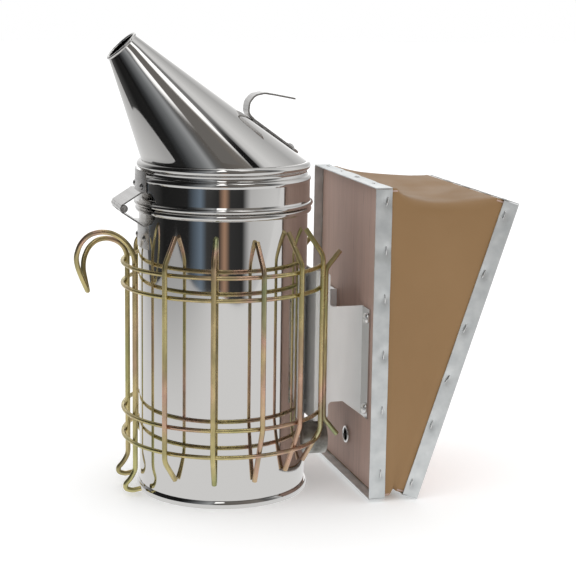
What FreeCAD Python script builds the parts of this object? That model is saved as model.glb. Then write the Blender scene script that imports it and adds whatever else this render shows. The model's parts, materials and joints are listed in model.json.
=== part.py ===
"""Bee smoker: a fire can with a hinged cone lid, a wire guard with a hanging hook, and squeeze bellows.

Frame: millimetres, +Z up, origin at the middle of the can's foot. +X points from the can to the bellows,
and the spout leans towards -X. The part is built at rest: lid shut, bellows open, grate down.
"""
import FreeCAD, Part
import math
import os
from FreeCAD import Placement, Rotation, Vector

# ---- Driving dimensions, mm and degrees ----

# Fire can
CAN_R = 50.0                # outside of the can wall
SHEET = 0.7                 # stainless sheet of can and lid
CAN_RIM_Z = 178.0           # top edge, which the lid drops over
CAN_BEAD_Z = CAN_RIM_Z - 7.7 # middle of the rolled bead that stops the lid
CAN_BEAD_R = 1.9            # section radius of that bead
CAN_BEAD_OUT = CAN_R + 2.2  # radius over the bead
FOOT_R = CAN_R + 1.6        # outside of the rolled foot seam
FOOT_H = 4.2                # height of the foot seam

# Lid
LID_GAP = 0.4               # all round between the lid's skirt and the can
STACK_GAP = 0.35            # between the lid's rim and the can's bead
LID_RIM_OUT = CAN_R + 3.0   # radius over the lid's rolled rim
LID_RIM_R = 1.4             # section radius of that rim
SHOULDER_Z = CAN_RIM_Z + 10.9   # upper edge of the plain skirt
GROOVE_Z = CAN_RIM_Z + 14.3 # bottom of the groove
GROOVE_R = CAN_R - 0.8
CONE_BASE_Z = CAN_RIM_Z + 20.6  # where the cone meets the collar
CONE_BASE_R = CAN_R - 1.4
CONE_WALL = 1.0             # measured level, so the sheet is thinner across
SPOUT_X = -CAN_R - 10.7     # middle of the mouth
SPOUT_Z = CAN_RIM_Z + 86.4
SPOUT_R = 10.5              # outside of the mouth
SPOUT_LEAN = 43.0           # the mouth's axis, from upright towards -X
SPOUT_LIP = 0.9             # section radius of the rolled lip

# Lid hinge
HINGE_W = 30.0              # along Y
HINGE_X = -CAN_R - 12.3
HINGE_Z = CAN_RIM_Z - 5.5
KNUCKLE_R = 2.3
PIN_R = 1.2
RUN_GAP = 0.05              # radial running clearance round a pin or shank
LEAF_T = 0.8
CAN_LEAF_LOW, CAN_LEAF_HIGH, CAN_RIVET_Z = HINGE_Z - 24.5, HINGE_Z - 10.0, HINGE_Z - 18.5
LID_LEAF_LOW, LID_LEAF_HIGH, LID_RIVET_Z = HINGE_Z + 8.5, HINGE_Z + 21.0, HINGE_Z + 12.0
HINGE_RIVET_Y = 9.5         # each rivet, from the middle
HINGE_RIVET_R, HINGE_HEAD_R = 1.2, 2.0
SIDE_GAP = 0.3              # between knuckles, and between parts that pass each other

# Lift tab
TAB_W = 12.0
TAB_T = 1.0
TAB_ROOT, TAB_LENGTH = 4.5, 35.0            # start on the cone's back ridge, and length lying on it
TAB_RIVET_AT = 10.5
TAB_RIVET_R, TAB_HEAD_R = 1.6, 3.2

# Fire grate
GRATE_R = CAN_R - 5.0
GRATE_Z = 38.0              # underside of the plate
GRATE_T = 0.8
GRATE_HOLE_R = 2.2
GRATE_LEG_W = 9.0

# Air inlet
INLET_Z = 25.0
INLET_R = 10.4              # outside of the tube
INLET_END = CAN_R + 14.5    # open end, towards the bellows
INLET_IN = CAN_R - 2.5      # end inside the can

# Wire guard
HOOP_R = CAN_R + 9.7        # to the middle of the hoop wire
HOOP_WIRE = 2.5
BAR_WIRE = 3.0
HOOPS = [("upper_outer", 138.0, 24.0), ("upper_inner", 125.0, 31.0),
         ("lower_inner", 49.4, 31.0), ("lower_outer", 33.6, 24.0)]     # name, height, half opening
# Each upright: angle round the can from +X, lower end, lower bend, upper bend, upper end.
BARS = [(34.5, 20.0, 40.0, 145.0, 160.0), (57.5, 19.0, 47.0, 143.0, 160.5), (82.0, 16.0, 49.0, 141.0, 156.5),
        (108.5, 15.0, 33.0, 148.0, 158.5), (135.5, 15.5, 29.0, 143.5, 158.5)]
END_BAR_LOW, END_BAR_HIGH = 45.0, 136.0     # straight length of the last bar on each side
END_BAR_FLARE = (8.6, 10.5)                 # how far its ends turn out towards the bellows, and rise or drop
HOOK_LEG_Y = 12.0

# Bracket between can and bellows
BRACKET_T = 0.9
BRACKET_HALF_W = 26.0       # to the inside of each wing
BRACKET_LOW, BRACKET_HIGH = 42.6, 134.0     # ends of the web
WING_TOP = 112.3
WING_NECK = CAN_R + 8.9     # how far out the narrow ends of the wings reach
WING_NOTCH_Z = 54.0
WING_LOW = 45.4
FLANGE_W = 13.5
BOLT_Y, BOLT_ZS = 10.0, (51.0, 129.0)
BOLT_R, BOLT_HEAD_R, BOLT_HEAD_H, BOLT_END = 1.5, 2.75, 1.5, 5.2
NUT_ACROSS, NUT_T = 6.4, 3.0
SCREW_Y, SCREW_ZS = 36.5, (51.5, 106.5)
SCREW_R, SCREW_HEAD_R, SCREW_L = 1.5, 3.4, 7.5
FOLD_SOFT = 2.5             # rounding of the wings' corners

# Bellows
BELLOWS_X = CAN_R + 24.7    # outer edge of the front board's metal edging
BELLOWS_Z = 2.1             # underside of the front board's edging
BOARD_W = 120.0             # over the edging, along Y
BOARD_H = 185.0             # over the edging
BOARD_T = 8.0               # the wooden board
BOARD_RECESS = 5.5          # wood below the edging's outer edge
EDGING_W = 9.8
EDGING_T = 0.6
LEATHER_T = 1.0
LEATHER_TUCK = 2.5          # how far the leather stops short of the edging's outer edge
HINGE_GAP = 3.8             # between the boards at the bottom
BELLOWS_HINGE_Z = 4.5
REAR_LIFT = 3.2             # the rear board sits this much higher than the front one when closed
OPEN_ANGLE = 18.4           # between the boards at rest
EYELET_R = 4.0              # air hole through the eyelet
STAPLE_WIRE, STAPLE_CROWN, STAPLE_LEG = 0.8, 5.0, 5.0
STAPLE_IN = 6.8             # from the edging's outer edge
FRONT_STAPLES = (0.0849, 0.2919, 0.4714, 0.6519, 0.8043, 0.9584)    # up each side, of its height
REAR_STAPLES = (0.0476, 0.2459, 0.4, 0.5724, 0.7557, 0.9519)
END_STAPLES = (-0.3, -0.0417, 0.2167, 0.4417)               # along top and bottom, of its width
SPRING_R = 13.0
SPRING_WIRE = 1.6
SPRING_AT = 112.0           # up the boards from the hinge
SPRING_TURNS = 6

# ---- Sizes that follow from them ----
FLOOR_TOP = SHEET
RIM_OUT_Z = CAN_BEAD_Z + CAN_BEAD_R + STACK_GAP + LID_RIM_R            # middle of the lid's rolled rim
SKIRT_IN = CAN_R + LID_GAP
SKIRT_OUT = SKIRT_IN + SHEET
BAR_R = HOOP_R + HOOP_WIRE / 2 + BAR_WIRE / 2                          # uprights, welded outside the hoops
HOOK_LEG_R = HOOP_R - HOOP_WIRE / 2 - BAR_WIRE / 2                     # hook legs, welded inside them
BAR_END_R = CAN_R + BAR_WIRE / 2 + RUN_GAP                             # where the bars' ends meet the can
WOOD_FACE_X = BELLOWS_X + BOARD_RECESS
WEB_X = CAN_R + RUN_GAP
BELLOWS_HINGE_X = BELLOWS_X + BOARD_RECESS + BOARD_T + HINGE_GAP / 2
RIDGE = math.atan2(SPOUT_Z + SPOUT_R * math.sin(math.radians(SPOUT_LEAN)) - CONE_BASE_Z,
                   CONE_BASE_R - SPOUT_X - SPOUT_R * math.cos(math.radians(SPOUT_LEAN)))

CAN_LEAF_R = CAN_R + RUN_GAP                                           # insides of the hinge's leaves
LID_LEAF_R = SKIRT_OUT + 0.45

X, Y, Z = Vector(1, 0, 0), Vector(0, 1, 0), Vector(0, 0, 1)
ORIGIN = Vector(0, 0, 0)
HINGE_RIVET_WAYS = [Vector(-math.sqrt(CAN_R ** 2 - HINGE_RIVET_Y ** 2), side * HINGE_RIVET_Y, 0).normalize()
                    for side in (-1, 1)]

os.makedirs("parts", exist_ok=True)


def save(name, *solids):
    """Writes one node: a single solid, or a group of separate ones."""
    shape = solids[0] if len(solids) == 1 else Part.makeCompound(list(solids))
    shape.exportStep("parts/" + name + ".step")


def outline(start, *steps):
    """A closed wire in the XZ plane. Each step is a point, or a middle and an end point for an arc."""
    edges, here = [], Vector(start[0], 0, start[1])
    for step in steps + (start,):
        if isinstance(step[0], tuple):
            middle, end = (Vector(p[0], 0, p[1]) for p in step)
            edges.append(Part.Arc(here, middle, end).toShape())
        else:
            end = Vector(step[0], 0, step[1])
            edges.append(Part.LineSegment(here, end).toShape())
        here = end
    return Part.Wire(edges)


def turned(start, *steps):
    """A ring or disc turned from an outline, given as radius and height."""
    return Part.Face(outline(start, *steps)).revolve(ORIGIN, Z, 360)


def slab(width, middle, start, *steps):
    """An outline in the XZ plane given a width along Y."""
    return Part.Face(outline(start, *steps)).extrude(Y * width).translated(Y * (middle - width / 2))


def box(low, high):
    return Part.makeBox(high[0] - low[0], high[1] - low[1], high[2] - low[2], Vector(*low))


def rod(radius, start, end):
    return Part.makeCylinder(radius, (end - start).Length, start, end - start)


def bent_path(points, bend):
    """Straight runs joined by tangent arcs of radius bend, or less where a run is too short for it."""
    edges, here = [], points[0]
    for before, corner, after in zip(points, points[1:], points[2:]):
        back, ahead = before - corner, after - corner
        half_turn = (math.pi - back.getAngle(ahead)) / 2
        reach = min(bend * math.tan(half_turn), 0.45 * min(back.Length, ahead.Length))
        radius = reach / math.tan(half_turn)
        back, ahead = Vector(back).normalize(), Vector(ahead).normalize()
        inward = (back + ahead).normalize()
        start, end = corner + back * reach, corner + ahead * reach
        middle = corner + inward * (radius / math.cos(half_turn) - radius)
        edges.append(Part.LineSegment(here, start).toShape())
        edges.append(Part.Arc(start, middle, end).toShape())
        here = end
    edges.append(Part.LineSegment(here, points[-1]).toShape())
    return Part.Wire(edges)


def wire(points, diameter, bend):
    """A round wire bent along a path."""
    section = Part.Wire(Part.makeCircle(diameter / 2, points[0], points[1] - points[0]))
    return bent_path(points, bend).makePipeShell([section], True, False)


def strap(points, width, thick, bend):
    """A flat strap, bent along a path in the XZ plane, with its width along Y."""
    along = (points[1] - points[0]).normalize()
    side, up = Y * (width / 2), along.cross(Y) * (thick / 2)
    corners = [points[0] + side + up, points[0] + side - up, points[0] - side - up, points[0] - side + up]
    section = Part.makePolygon(corners + corners[:1])
    return bent_path(points, bend).makePipeShell([section], True, False)


def round_the_can(angle, radius, height):
    a = math.radians(angle)
    return Vector(radius * math.cos(a), radius * math.sin(a), height)


def rivet(seat, outward, grip, head_r, shank_r):
    """A domed rivet: seat is the middle of the head's underside, grip is the thickness that it holds."""
    out = Vector(outward).normalize()
    dome_h = head_r * 0.5
    ball_r = (head_r * head_r + dome_h * dome_h) / (2 * dome_h)
    ball = Part.makeSphere(ball_r, seat - out * (ball_r - dome_h))
    head = ball.common(Part.makeCylinder(head_r, dome_h * 2, seat, out))
    tail_start = seat - out * (grip + 2 * RUN_GAP)
    shank = rod(shank_r, seat, tail_start)
    tail = rod(head_r * 0.75, tail_start, tail_start - out * head_r * 0.3)
    return head.fuse([shank, tail]).removeSplitter()


# ---- Fire can ----

def hinge_rivet_holes(radius, height):
    """Cutters for a pair of rivet holes through a round wall."""
    return [rod(HINGE_RIVET_R + RUN_GAP, out * (radius - 3) + Z * height, out * (radius + 3) + Z * height)
            for out in HINGE_RIVET_WAYS]


def can_wall():
    inner = CAN_R - SHEET
    bead_low, bead_high = CAN_BEAD_Z - CAN_BEAD_R, CAN_BEAD_Z + CAN_BEAD_R
    wall = turned((inner, FLOOR_TOP), (CAN_R, FLOOR_TOP), (CAN_R, bead_low),
                  ((CAN_BEAD_OUT, CAN_BEAD_Z), (CAN_R, bead_high)), (CAN_R, CAN_RIM_Z), (inner, CAN_RIM_Z))
    wall = wall.cut(rod(INLET_R + RUN_GAP, Vector(INLET_IN - SHEET, 0, INLET_Z), Vector(CAN_R + 1, 0, INLET_Z)))
    for side in (-1, 1):
        for height in BOLT_ZS:
            start = Vector(CAN_R * 0.8, side * BOLT_Y, height)
            wall = wall.cut(rod(BOLT_R + RUN_GAP, start, start + X * CAN_R))
    return wall.cut(hinge_rivet_holes(CAN_R, CAN_RIVET_Z))


def can_base():
    """The flat floor that the smoker stands on, and the seam rolled round the wall's foot."""
    seam_in = CAN_R + RUN_GAP
    edge = (FOOT_R - seam_in) / 2
    return turned((0, 0), (FOOT_R - edge, 0), ((FOOT_R, FOOT_H / 2), (FOOT_R - edge, FOOT_H)),
                  (seam_in, FOOT_H), (seam_in, FLOOR_TOP), (0, FLOOR_TOP))


def inlet_tube():
    outside = rod(INLET_R, Vector(INLET_IN, 0, INLET_Z), Vector(INLET_END, 0, INLET_Z))
    bore = rod(INLET_R - SHEET, Vector(INLET_IN - 1, 0, INLET_Z), Vector(INLET_END + 1, 0, INLET_Z))
    return outside.cut(bore)


def fire_grate():
    """A pierced plate on three folded legs, lifted out to empty the ash."""
    plate = Part.makeCylinder(GRATE_R, GRATE_T, Z * GRATE_Z)
    for ring, count in ((0, 1), (9.5, 6), (19, 12), (28.5, 18), (37.5, 24)):
        for k in range(count):
            middle = round_the_can(360.0 * k / count, ring, GRATE_Z - 1)
            plate = plate.cut(Part.makeCylinder(GRATE_HOLE_R, GRATE_T + 2, middle))
    leg_r, half_w = GRATE_R - 2.5, GRATE_LEG_W / 2
    for k in range(3):
        leg = box((leg_r, -half_w, FLOOR_TOP), (leg_r + GRATE_T, half_w, GRATE_Z + GRATE_T / 2))
        leg.rotate(ORIGIN, Z, 60 + 120 * k)
        plate = plate.fuse(leg)
    return plate.removeSplitter()


save("can_wall", can_wall())
save("can_base", can_base())
save("inlet_tube", inlet_tube())
save("fire_grate", fire_grate())


# ---- Lid: collar, cone with spout, lift tab ----

def lid_collar():
    """The lid's ring: rolled rim, plain skirt, shoulder, groove, and the top roll that holds the cone."""
    inner_top = CONE_BASE_R + RUN_GAP
    rim_low, rim_high = RIM_OUT_Z - LID_RIM_R, RIM_OUT_Z + LID_RIM_R
    shoulder_in, top_roll_z = SHOULDER_Z - 2.0, (GROOVE_Z + CONE_BASE_Z) / 2 + 0.6
    ring = turned((SKIRT_IN, rim_low), (LID_RIM_OUT - LID_RIM_R, rim_low),
                  ((LID_RIM_OUT, RIM_OUT_Z), (LID_RIM_OUT - LID_RIM_R, rim_high)), (SKIRT_OUT, rim_high + 1.0),
                  (SKIRT_OUT, shoulder_in), ((SKIRT_OUT + 0.35, SHOULDER_Z), (SKIRT_OUT - 0.6, SHOULDER_Z + 1.4)),
                  ((GROOVE_R, GROOVE_Z), (SKIRT_OUT - 0.8, top_roll_z - 2.0)),
                  ((SKIRT_OUT + 0.2, top_roll_z), (inner_top, CONE_BASE_Z - 0.2)),
                  (inner_top, SHOULDER_Z - 0.8), (SKIRT_IN, SHOULDER_Z - 2.6))
    return ring.cut(hinge_rivet_holes(SKIRT_OUT, LID_RIVET_Z))


def spout_ring(radius, inset):
    """A circle across the spout, set back from the mouth along the spout's axis."""
    lean = math.radians(SPOUT_LEAN)
    axis = Vector(-math.sin(lean), 0, math.cos(lean))
    middle = Vector(SPOUT_X, 0, SPOUT_Z) - axis * inset
    circle = Part.makeCircle(radius)
    circle.Placement = Placement(middle, Rotation(Y, -SPOUT_LEAN))
    return Part.Wire(circle)


def lid_cone():
    """The leaning cone, the band below it that sits in the collar, and the rolled lip of the mouth."""
    foot = Part.Wire(Part.makeCircle(CONE_BASE_R, Z * CONE_BASE_Z))
    bore_foot = Part.Wire(Part.makeCircle(CONE_BASE_R - CONE_WALL, Z * CONE_BASE_Z))
    outside = Part.makeLoft([foot, spout_ring(SPOUT_R, 0)], True, True)
    bore = Part.makeLoft([bore_foot, spout_ring(SPOUT_R - SHEET, 0)], True, True)
    band_low = SHOULDER_Z - 0.8
    band = Part.makeCylinder(CONE_BASE_R, CONE_BASE_Z - band_low, Z * band_low)
    bore_band = Part.makeCylinder(CONE_BASE_R - CONE_WALL, CONE_BASE_Z - band_low, Z * band_low)
    shell = outside.fuse(band).cut(bore).cut(bore_band)
    lip = Part.makeTorus(SPOUT_R - SPOUT_LIP / 2, SPOUT_LIP)
    lip.Placement = Placement(Vector(SPOUT_X, 0, SPOUT_Z), Rotation(Y, -SPOUT_LEAN))
    shell = shell.fuse(lip)
    seat, out = tab_rivet_seat()
    return shell.cut(rod(TAB_RIVET_R + RUN_GAP, seat - out * 4, seat + out * 4))


def on_ridge(across, up):
    """A point above the cone's back ridge: across is its distance in from the foot, up is square to it."""
    return Vector(CONE_BASE_R - across * math.cos(RIDGE) + up * math.sin(RIDGE), 0,
                  CONE_BASE_Z + across * math.sin(RIDGE) + up * math.cos(RIDGE))


def tab_rivet_seat():
    return on_ridge(TAB_RIVET_AT, TAB_T + 2 * RUN_GAP), on_ridge(0, 1) - on_ridge(0, 0)


def lift_tab():
    """A strap riveted to the back of the cone, curled up and over for a fingertip."""
    lie = TAB_T / 2 + RUN_GAP
    root = on_ridge(TAB_ROOT + TAB_LENGTH, lie)
    curl = [(-3.6, 3.6), (-3.0, 10.0), (0.5, 14.2), (6.2, 15.4), (13.0, 14.3), (25.0, 12.0)]
    points = [on_ridge(TAB_ROOT, lie), root] + [root + Vector(dx, 0, dz) for dx, dz in curl]
    tab = strap(points, TAB_W, TAB_T, 6.0)
    seat, out = tab_rivet_seat()
    corner = on_ridge(TAB_ROOT + TAB_W / 2, 0)
    square_end = box((0, -TAB_W, -3), (TAB_W / 2, TAB_W, 3))
    round_end = Part.makeCylinder(TAB_W / 2, 6, Vector(0, 0, -3))
    trim = square_end.cut(round_end)
    trim.Placement = Placement(corner + out * lie, Rotation(Y, math.degrees(RIDGE)))
    return tab.cut(trim).cut(rod(TAB_RIVET_R + RUN_GAP, seat - out * 4, seat + out * 4))


save("lid_collar", lid_collar())
save("lid_cone", lid_cone())
save("lift_tab", lift_tab())
save("lift_tab_rivet", rivet(*tab_rivet_seat(), TAB_T + SHEET + 2 * RUN_GAP, TAB_HEAD_R, TAB_RIVET_R))


# ---- Lid hinge ----

PIN_AXIS = Vector(HINGE_X, 0, HINGE_Z)
KNUCKLE_W = HINGE_W / 3


def knuckle_spans(side):
    """The stretches along Y of the can leaf's two outer knuckles, or of the lid leaf's middle one."""
    inner = KNUCKLE_W / 2
    if side == "lid":
        return [(-inner + SIDE_GAP / 2, inner - SIDE_GAP / 2)]
    return [(-HINGE_W / 2, -inner - SIDE_GAP / 2), (inner + SIDE_GAP / 2, HINGE_W / 2)]


def along_pin(radius, span):
    return rod(radius, PIN_AXIS + Y * span[0], PIN_AXIS + Y * span[1])


def hinge_leaf(side, radius, low, high, rivet_z):
    """One leaf: a plate curved to the wall, a sloping apron out to the pin, and its knuckles."""
    ring = Part.makeCylinder(radius + LEAF_T, high - low, Z * low)
    ring = ring.cut(Part.makeCylinder(radius, high - low, Z * low))
    plate = ring.common(box((-radius * 1.2, -HINGE_W / 2, low), (0, HINGE_W / 2, high)))
    bend_z, reach = (low, 1) if side == "lid" else (high, -1)
    edge_x = -math.sqrt(radius ** 2 - (HINGE_W / 2) ** 2)
    meet = Vector(-radius - LEAF_T, 0, bend_z)
    away = (PIN_AXIS - meet).normalize()
    tangent = PIN_AXIS + Vector(away.z, 0, -away.x) * reach * (KNUCKLE_R - LEAF_T / 2)
    run = tangent - meet
    square = Vector(run.z, 0, -run.x).normalize() * LEAF_T
    inside = Vector(edge_x, 0, bend_z)
    apron = slab(HINGE_W, 0, (inside.x, inside.z), (meet.x, meet.z), (tangent.x, tangent.z),
                 (tangent.x + reach * square.x, tangent.z + reach * square.z),
                 (meet.x + reach * square.x, meet.z + reach * square.z),
                 (inside.x, inside.z + reach * LEAF_T))
    apron = apron.cut(Part.makeCylinder(radius, 60, Z * (bend_z - 30)))
    leaf = plate.fuse(apron)
    knuckles = knuckle_spans(side)
    for span in knuckles:
        leaf = leaf.fuse(along_pin(KNUCKLE_R, span))
    for other in knuckle_spans("can" if side == "lid" else "lid"):
        leaf = leaf.cut(along_pin(KNUCKLE_R + SIDE_GAP, (other[0] - SIDE_GAP, other[1] + SIDE_GAP)))
    leaf = leaf.cut(along_pin(PIN_R + RUN_GAP, (-HINGE_W, HINGE_W)))
    return leaf.cut(hinge_rivet_holes(radius, rivet_z)).removeSplitter()


def hinge_rivets(wall_r, leaf_r, height):
    """The pair of rivets through one leaf and the wall behind it."""
    head_gap = 0.15          # the flat seat of a head on a round leaf
    seat_r = leaf_r + LEAF_T + head_gap
    grip = seat_r - (wall_r - SHEET) + head_gap
    return [rivet(out * seat_r + Z * height, out, grip, HINGE_HEAD_R, HINGE_RIVET_R)
            for out in HINGE_RIVET_WAYS]


save("can_hinge_leaf", hinge_leaf("can", CAN_LEAF_R, CAN_LEAF_LOW, CAN_LEAF_HIGH, CAN_RIVET_Z))
save("lid_hinge_leaf", hinge_leaf("lid", LID_LEAF_R, LID_LEAF_LOW, LID_LEAF_HIGH, LID_RIVET_Z))
pin_end = HINGE_W / 2 + SIDE_GAP
pin = along_pin(PIN_R, (-pin_end, pin_end))
for side in (-1, 1):
    pin = pin.fuse(along_pin(PIN_R + 0.7, sorted((side * pin_end, side * (pin_end + 0.8)))))
save("lid_hinge_pin", pin.removeSplitter())
save("can_hinge_rivets", *hinge_rivets(CAN_R, CAN_LEAF_R, CAN_RIVET_Z))
save("lid_hinge_rivets", *hinge_rivets(SKIRT_OUT, LID_LEAF_R, LID_RIVET_Z))


# ---- Wire guard ----

for name, height, opening in HOOPS:
    hoop = Part.makeTorus(HOOP_R, HOOP_WIRE / 2, ORIGIN, Z, -180, 180, 360 - 2 * opening)
    hoop.rotate(ORIGIN, Z, opening)
    save("guard_hoop_" + name, hoop.translated(Z * height))

for number, (angle, low_end, low_bend, high_bend, high_end) in enumerate(BARS, 1):
    for side, sign in (("near", -1), ("far", 1)):
        stations = [(BAR_END_R, low_end), (BAR_R, low_bend), (BAR_R, high_bend), (BAR_END_R, high_end)]
        points = [round_the_can(sign * angle, radius, height) for radius, height in stations]
        save("guard_bar_%s_%d" % (side, number), wire(points, BAR_WIRE, 9.0))

for side, sign in (("near", -1), ("far", 1)):
    bar_y = sign * (BRACKET_HALF_W + BRACKET_T + SIDE_GAP + BAR_WIRE / 2)
    bar_x = math.sqrt(BAR_R ** 2 - bar_y ** 2)
    out, rise = END_BAR_FLARE
    points = [Vector(bar_x + out, bar_y, END_BAR_LOW - rise), Vector(bar_x, bar_y, END_BAR_LOW),
              Vector(bar_x, bar_y, END_BAR_HIGH), Vector(bar_x + out, bar_y, END_BAR_HIGH + rise)]
    save("guard_end_bar_" + side, wire(points, BAR_WIRE, 6.0))


def hook_wire():
    """One wire: a foot curled in to the can's seam, a leg, over the hook to its tip, and back the same way."""
    leg_x = -math.sqrt(HOOK_LEG_R ** 2 - HOOK_LEG_Y ** 2)
    foot = [(3.4, 3.9), (-1.8, 2.9), (-5.8, 4.4), (-6.0, 7.2), (-2.8, 10.6), (0.0, 15.5)]
    outer = [(0.0, 143.5, 1.0), (-3.0, 150.0, 0.97), (-7.4, 154.8, 0.93), (-13.2, 158.2, 0.9),
             (-20.2, 158.9, 0.85), (-26.4, 157.0, 0.78), (-31.2, 151.8, 0.7), (-33.4, 144.0, 0.6),
             (-32.4, 138.0, 0.5), (-29.4, 130.5, 0.36), (-26.0, 123.0, 0.22)]
    inner = [(0.0, 141.5, 1.0), (-2.4, 146.8, 1.0), (-7.0, 150.3, 0.97), (-12.8, 151.8, 0.93),
             (-18.6, 150.8, 0.88), (-23.4, 147.0, 0.8), (-26.6, 141.0, 0.62), (-27.4, 134.5, 0.46),
             (-25.4, 122.6, 0.22)]
    near = [Vector(leg_x + dx, -HOOK_LEG_Y * share, z) for dx, z, share in outer]
    far = [Vector(leg_x + dx, HOOK_LEG_Y * share, z) for dx, z, share in inner]
    near_foot = [Vector(leg_x + dx, -HOOK_LEG_Y, z) for dx, z in foot]
    far_foot = [Vector(leg_x + dx, HOOK_LEG_Y, z + 3.0) for dx, z in foot]
    return wire(near_foot + near + far[::-1] + far_foot[::-1], BAR_WIRE, 30.0)


save("hook_wire", hook_wire())


# ---- Bracket and its fasteners ----

def bracket():
    """A folded channel: web on the can, two wings, and a flange on the board at the end of each wing."""
    inner, outer, far_x = BRACKET_HALF_W, BRACKET_HALF_W + BRACKET_T, WOOD_FACE_X - RUN_GAP
    height = BRACKET_HIGH - BRACKET_LOW
    sheet = box((WEB_X, -outer, BRACKET_LOW), (WEB_X + BRACKET_T, outer, BRACKET_HIGH))
    for sign in (-1, 1):
        low_y, high_y = sorted((sign * inner, sign * outer))
        wing = box((WEB_X, low_y, BRACKET_LOW), (far_x, high_y, BRACKET_HIGH))
        low_y, high_y = sorted((sign * inner, sign * (inner + FLANGE_W)))
        flange = box((far_x - BRACKET_T, low_y, BRACKET_LOW), (far_x, high_y, BRACKET_HIGH))
        sheet = sheet.fuse([wing, flange])
    sheet = sheet.removeSplitter()
    folds = [e for e in sheet.Edges if abs(e.Length - height) < 0.01 and
             abs(abs(e.BoundBox.YMin) - outer) < 0.01 and e.BoundBox.XMin < WEB_X + 0.01]
    sheet = sheet.makeFillet(BRACKET_T, folds)
    soft = FOLD_SOFT
    profile = slab(2 * (inner + FLANGE_W), 0, (WEB_X, BRACKET_LOW), (WING_NECK - soft, BRACKET_LOW),
                   (WING_NECK, BRACKET_LOW + soft), (WING_NECK, WING_NOTCH_Z - soft),
                   ((WING_NECK + soft * 0.29, WING_NOTCH_Z - soft * 0.29), (WING_NECK + soft, WING_NOTCH_Z)),
                   (WING_NECK + 9, WING_NOTCH_Z), (far_x - 1, WING_LOW), (far_x, WING_LOW), (far_x, WING_TOP),
                   (WING_NECK + soft, WING_TOP),
                   ((WING_NECK + soft * 0.29, WING_TOP + soft * 0.29), (WING_NECK, WING_TOP + soft)),
                   (WING_NECK, BRACKET_HIGH - soft), (WING_NECK - soft, BRACKET_HIGH), (WEB_X, BRACKET_HIGH))
    sheet = sheet.common(profile)
    for sign in (-1, 1):
        for bolt_z in BOLT_ZS:
            start = Vector(WEB_X - 1, sign * BOLT_Y, bolt_z)
            sheet = sheet.cut(rod(BOLT_R + RUN_GAP, start, start + X * 3))
        for screw_z in SCREW_ZS:
            start = Vector(far_x - 2, sign * SCREW_Y, screw_z)
            sheet = sheet.cut(rod(SCREW_R + RUN_GAP, start, start + X * 3))
    return sheet


def bracket_bolt(y, z):
    """A round-head bolt, with its head inside the can and its end out past the nut."""
    seat_x = math.sqrt((CAN_R - SHEET) ** 2 - (abs(y) + BOLT_HEAD_R) ** 2) - RUN_GAP
    seat = Vector(seat_x, y, z)
    head = rod(BOLT_HEAD_R, seat - X * BOLT_HEAD_H, seat)
    return head.fuse(rod(BOLT_R, seat, Vector(WEB_X + BRACKET_T + BOLT_END, y, z)))


def hex_nut(y, z):
    corner_r = NUT_ACROSS / math.sqrt(3)
    start = Vector(WEB_X + BRACKET_T + RUN_GAP, y, z)
    turns = [math.radians(60 * k) for k in range(7)]
    corners = [start + Vector(0, corner_r * math.cos(turn), corner_r * math.sin(turn)) for turn in turns]
    body = Part.Face(Part.makePolygon(corners)).extrude(X * NUT_T)
    return body.cut(rod(BOLT_R + RUN_GAP, start - X, start + X * (NUT_T + 1)))


def board_screw(y, z):
    """A round-head wood screw through a flange into the front board."""
    seat = Vector(WOOD_FACE_X - RUN_GAP - BRACKET_T - RUN_GAP, y, z)
    reach = SCREW_HEAD_R + 1
    cap = box((seat.x - SCREW_HEAD_R * 0.6, y - reach, z - reach), (seat.x, y + reach, z + reach))
    head = Part.makeSphere(SCREW_HEAD_R, seat).common(cap)
    shank = rod(SCREW_R, seat, seat + X * SCREW_L)
    slot = box((seat.x - SCREW_HEAD_R, y - reach, z - 0.4), (seat.x - SCREW_HEAD_R * 0.36, y + reach, z + 0.4))
    return head.fuse(shank).cut(slot)


bolt_places = [(sign * BOLT_Y, z) for sign in (-1, 1) for z in BOLT_ZS]
screw_places = [(sign * SCREW_Y, z) for sign in (-1, 1) for z in SCREW_ZS]
save("bellows_bracket", bracket())
save("bracket_bolts", *[bracket_bolt(y, z) for y, z in bolt_places])
save("bracket_nuts", *[hex_nut(y, z) for y, z in bolt_places])
save("bracket_board_screws", *[board_screw(y, z) for y, z in screw_places])


# ---- Bellows ----
# Each board is made lying in its own frame: X from the edging's outer edge towards the other board, Z up the
# board from the edging's underside. The front one is only moved; the rear one is turned round and leaned back.

FRONT = Placement(Vector(BELLOWS_X, 0, BELLOWS_Z), Rotation())
LEAN = Rotation(Y, OPEN_ANGLE)
hinge_point = Vector(BELLOWS_HINGE_X, 0, BELLOWS_HINGE_Z)
rear_closed = Vector(2 * BELLOWS_HINGE_X - BELLOWS_X, 0, BELLOWS_Z + REAR_LIFT)
REAR = Placement(hinge_point + LEAN.multVec(rear_closed - hinge_point), LEAN.multiply(Rotation(Z, 180)))

COVER = EDGING_T + LEATHER_T                 # edging and leather over the board's edges
WOOD_HALF_W = BOARD_W / 2 - COVER
INNER_FACE = BOARD_RECESS + BOARD_T          # the board's inner face, in its own frame


def board(eyelet):
    wood = box((BOARD_RECESS, -WOOD_HALF_W, COVER), (INNER_FACE, WOOD_HALF_W, BOARD_H - COVER))
    if eyelet:
        hole_z = INLET_Z - BELLOWS_Z
        wood = wood.cut(rod(EYELET_R + SHEET + RUN_GAP, Vector(0, 0, hole_z), Vector(INNER_FACE + 1, 0, hole_z)))
    return wood


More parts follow.
